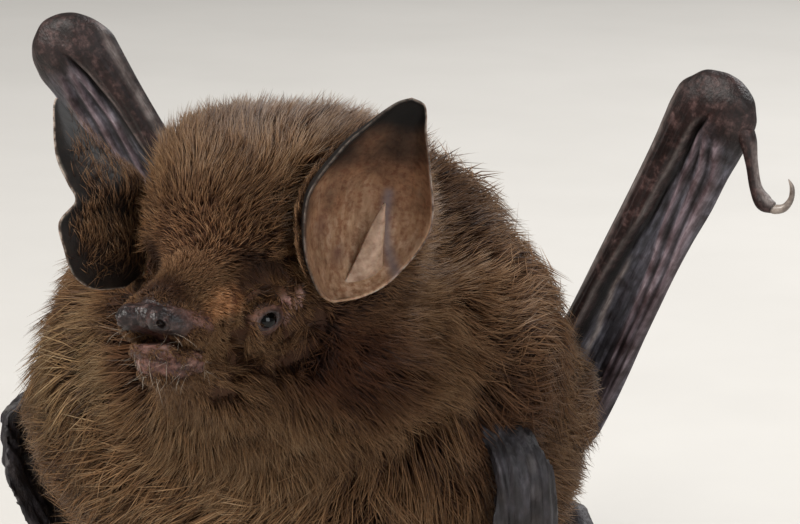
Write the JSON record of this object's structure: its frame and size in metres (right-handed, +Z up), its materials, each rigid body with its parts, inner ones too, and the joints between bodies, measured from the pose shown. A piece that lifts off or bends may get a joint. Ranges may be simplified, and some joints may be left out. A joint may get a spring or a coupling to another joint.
{
  "type": "brown vesper bat",
  "caption": "Life-size resting bat with its chest reared up, long soft brown coat, round cupped ears and both folded wings drawn up behind its back.",
  "frame": {"origin": "middle of the model's footprint, on the floor", "axes": "+Z up, -Y the way the bat faces, +X the bat's left; the tail trails towards +Y"},
  "size_m": [0.0566, 0.07, 0.0462],
  "materials": {
    "coat": "long soft brown fur, dark at the roots and tan at the tips, over matte skin",
    "bare_skin": "bare, finely grained maroon-brown skin",
    "ear_skin": "thin, smooth, faintly translucent orange-brown ear skin",
    "wing_skin": "thin, finely wrinkled grey-brown wing skin",
    "claw": "smooth pale horn",
    "eye": "wet black"
  },
  "bodies": {
    "root": {"trunk": "coat", "neck": "coat", "head": "coat", "lower_jaw": "coat", "tail": "wing_skin", "ear_left": "ear_skin", "tragus_left": "ear_skin", "eye_left": "eye", "upper_arm_left": "coat", "forearm_left": "wing_skin", "wrist_left": "bare_skin", "finger_3_left": "wing_skin", "finger_4_left": "wing_skin", "finger_5_left": "wing_skin", "hand_membrane_left": "wing_skin", "thumb_left": "bare_skin", "thumb_claw_left": "claw", "wing_tip_left": "wing_skin", "thigh_left": "coat", "shank_left": "wing_skin", "foot_left": "bare_skin", "flank_membrane_left": "wing_skin", "tail_membrane_left": "wing_skin", "ear_right": "ear_skin", "tragus_right": "ear_skin", "eye_right": "eye", "upper_arm_right": "coat", "forearm_right": "wing_skin", "wrist_right": "bare_skin", "finger_3_right": "wing_skin", "finger_4_right": "wing_skin", "finger_5_right": "wing_skin", "hand_membrane_right": "wing_skin", "thumb_right": "bare_skin", "thumb_claw_right": "claw", "wing_tip_right": "wing_skin", "thigh_right": "coat", "shank_right": "wing_skin", "foot_right": "bare_skin", "flank_membrane_right": "wing_skin", "tail_membrane_right": "wing_skin"}
  },
  "joints": []
}
